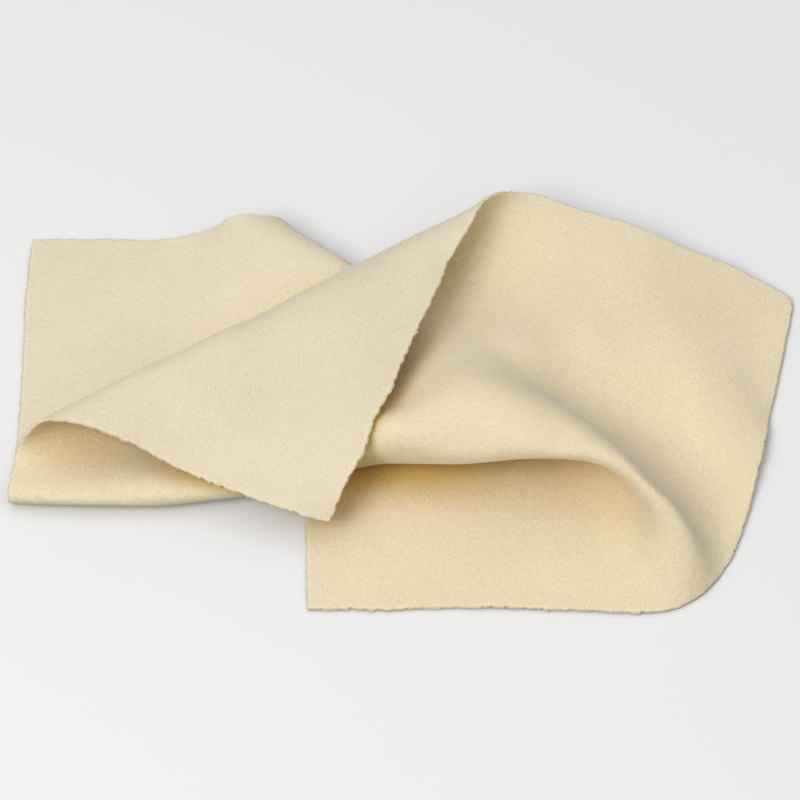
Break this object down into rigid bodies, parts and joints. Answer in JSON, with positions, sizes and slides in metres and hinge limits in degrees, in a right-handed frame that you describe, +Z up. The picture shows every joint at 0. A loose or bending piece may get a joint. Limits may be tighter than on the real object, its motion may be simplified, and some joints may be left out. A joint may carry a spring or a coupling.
{
  "type": "jewelry polishing cloth",
  "caption": "Square napped cotton cloth for polishing jewelry, folded in half with a turned-back corner flap and a tucked front corner.",
  "frame": {"origin": "on the table below the middle of the folded cloth's outline", "axes": "+Z up, -Y towards the tucked corner and the fold in half, +X along the fold in half"},
  "size_m": [0.2564, 0.1598, 0.033],
  "materials": {
    "napped_cotton": "soft matt cream nap"
  },
  "bodies": {
    "root": {"cloth": "napped_cotton"}
  },
  "joints": []
}
